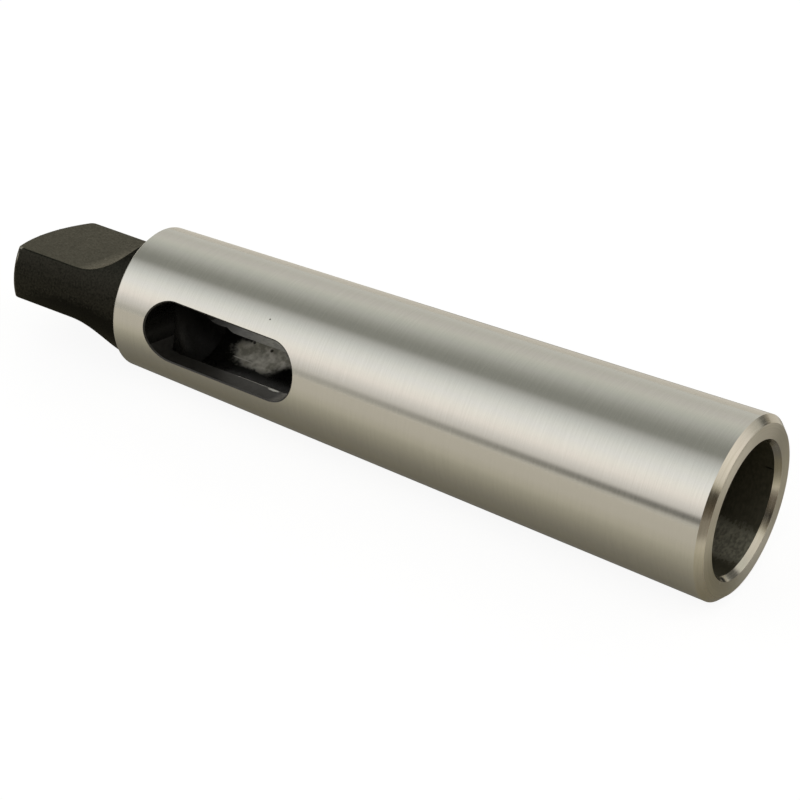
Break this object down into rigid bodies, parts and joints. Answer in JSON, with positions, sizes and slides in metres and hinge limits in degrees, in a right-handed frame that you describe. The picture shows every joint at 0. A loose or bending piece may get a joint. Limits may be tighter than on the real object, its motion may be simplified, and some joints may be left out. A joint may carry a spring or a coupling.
{
  "type": "morse taper sleeve",
  "caption": "Steel reducing sleeve: a long taper outside with a flat tang, a smaller tapered socket inside, and a drift slot through its walls.",
  "frame": {"origin": "centre of the ring-shaped face round the open mouth, which the sleeve stands on", "axes": "+Z along the sleeve's axis from the mouth to the tang; +X square to one cheek of the tang; the drift slot goes through along Y"},
  "size_m": [0.0246, 0.0246, 0.112],
  "materials": {
    "sleeve_steel": "hardened steel, fine ground outside, with a black oxide tang and drift slot"
  },
  "bodies": {
    "root": {"taper_sleeve": "sleeve_steel"}
  },
  "joints": []
}
